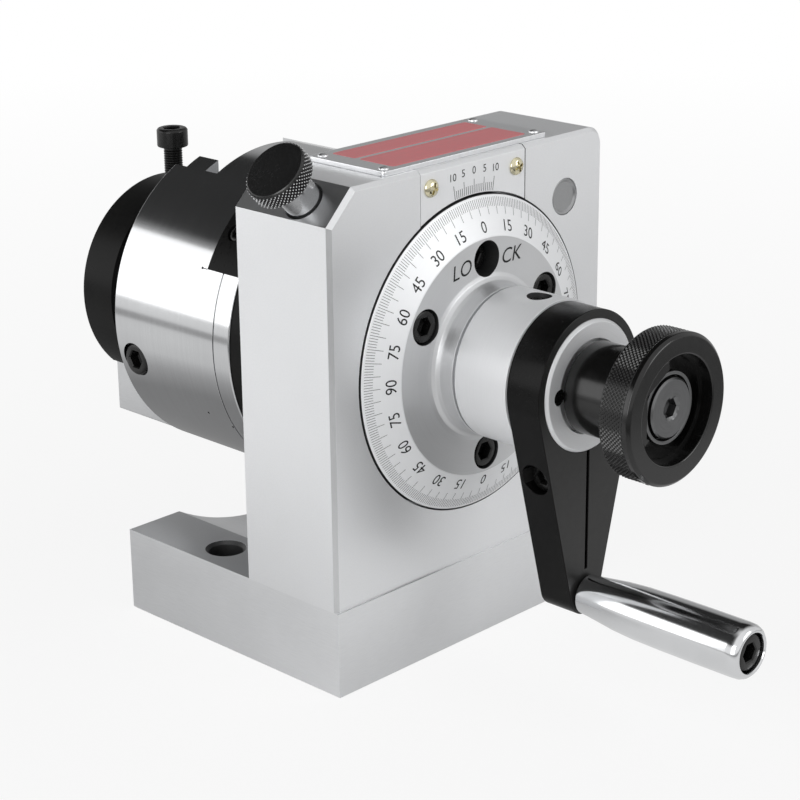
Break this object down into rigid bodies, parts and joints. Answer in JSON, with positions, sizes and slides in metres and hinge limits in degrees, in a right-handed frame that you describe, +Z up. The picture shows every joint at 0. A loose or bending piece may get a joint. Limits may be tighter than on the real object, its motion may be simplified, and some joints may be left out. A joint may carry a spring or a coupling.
{
  "type": "punch former",
  "caption": "Grinding fixture: an L-shaped frame carries a cranked spindle with a graduated dial and index plunger, and a drum with a sliding V-block and clamp yoke.",
  "frame": {"origin": "centre of the base's bottom face, which is the mount base_face", "axes": "+Z up; -Y towards the dial, crank and handle; +Y towards the drum and V-block; +X to the right when the dial is faced. The spindle axis runs along Y at x = 0, z = 0.090 m."},
  "size_m": [0.1265, 0.239, 0.1592],
  "materials": {
    "ground_steel": "ground",
    "satin_steel": "satin",
    "polished_steel": "polished, finely brushed",
    "block_steel": "ground",
    "black_oxide": "black oxide with an oil sheen",
    "grey_steel": "plain turned",
    "chrome": "mirror bright",
    "bronze": "plain turned",
    "brass": "passivated",
    "plate": "satin with coloured bands"
  },
  "bodies": {
    "frame": {"frame_casting": "ground_steel", "vernier_plate": "satin_steel", "vernier_screws": "brass", "name_plate": "plate", "name_plate_rivets": "plate", "face_plug": "ground_steel", "journal_bush": "bronze", "thrust_washer": "bronze", "plunger_guide": "satin_steel"},
    "index_plunger": {"plunger_pin": "polished_steel", "plunger_knob": "black_oxide", "plunger_spring": "grey_steel"},
    "spindle": {"spindle_shaft": "ground_steel", "index_plate": "ground_steel", "spindle_key": "black_oxide", "dial_flange": "satin_steel", "dial_screws": "black_oxide", "hub_sleeve": "satin_steel", "sleeve_screw": "black_oxide", "sleeve_key_pin": "black_oxide", "crank_arm": "black_oxide", "crank_clamp_screw": "black_oxide", "handle_stud": "black_oxide", "centre_stud": "grey_steel", "back_plate": "black_oxide", "drum_ring": "polished_steel", "drum": "polished_steel", "drum_screws": "black_oxide", "spindle_nut": "black_oxide", "stop_segment": "black_oxide", "stop_screw": "black_oxide"},
    "lock_screw": {"lock_screw": "black_oxide"},
    "handle": {"handle_grip": "chrome"},
    "front_knob": {"front_knob": "black_oxide", "knob_ring": "black_oxide"},
    "v_block": {"v_block": "block_steel"},
    "slide_lock_screw": {"slide_lock_screw": "black_oxide"},
    "yoke": {"clamp_yoke": "black_oxide"},
    "clamp_screw": {"clamp_screw": "black_oxide"}
  },
  "joints": [
    {"name": "plunger_slide", "type": "slide", "parent": "frame", "child": "index_plunger", "axis": [-0.7071, 0, 0.7071], "range_m": [-0.0042, 0]},
    {"name": "spindle_turn", "type": "hinge", "parent": "frame", "child": "spindle", "pos_m": [0, 0, 0.09], "axis": [0, -1, 0], "continuous": true},
    {"name": "lock_screw_turn", "type": "hinge", "parent": "spindle", "child": "lock_screw", "pos_m": [0, -0.046, 0.1192], "axis": [0, -1, 0], "range_deg": [-180, 180]},
    {"name": "handle_spin", "type": "hinge", "parent": "spindle", "child": "handle", "pos_m": [0, -0.116, 0.0273], "axis": [0, -1, 0], "continuous": true},
    {"name": "knob_turn", "type": "hinge", "parent": "spindle", "child": "front_knob", "pos_m": [0, -0.106, 0.09], "axis": [0, -1, 0], "continuous": true},
    {"name": "v_slide", "type": "slide", "parent": "spindle", "child": "v_block", "axis": [0, 0, 1], "range_m": [0, 0.028]},
    {"name": "slide_lock_turn", "type": "hinge", "parent": "spindle", "child": "slide_lock_screw", "pos_m": [-0.04, 0.0501, 0.0786], "axis": [-1, 0, 0], "range_deg": [-180, 180]},
    {"name": "yoke_slide", "type": "slide", "parent": "v_block", "child": "yoke", "axis": [0, 1, 0], "range_m": [-0.017, 0]},
    {"name": "clamp_screw_feed", "type": "slide", "parent": "yoke", "child": "clamp_screw", "axis": [0, 0, 1], "range_m": [-0.0099, 0.0115]}
  ]
}
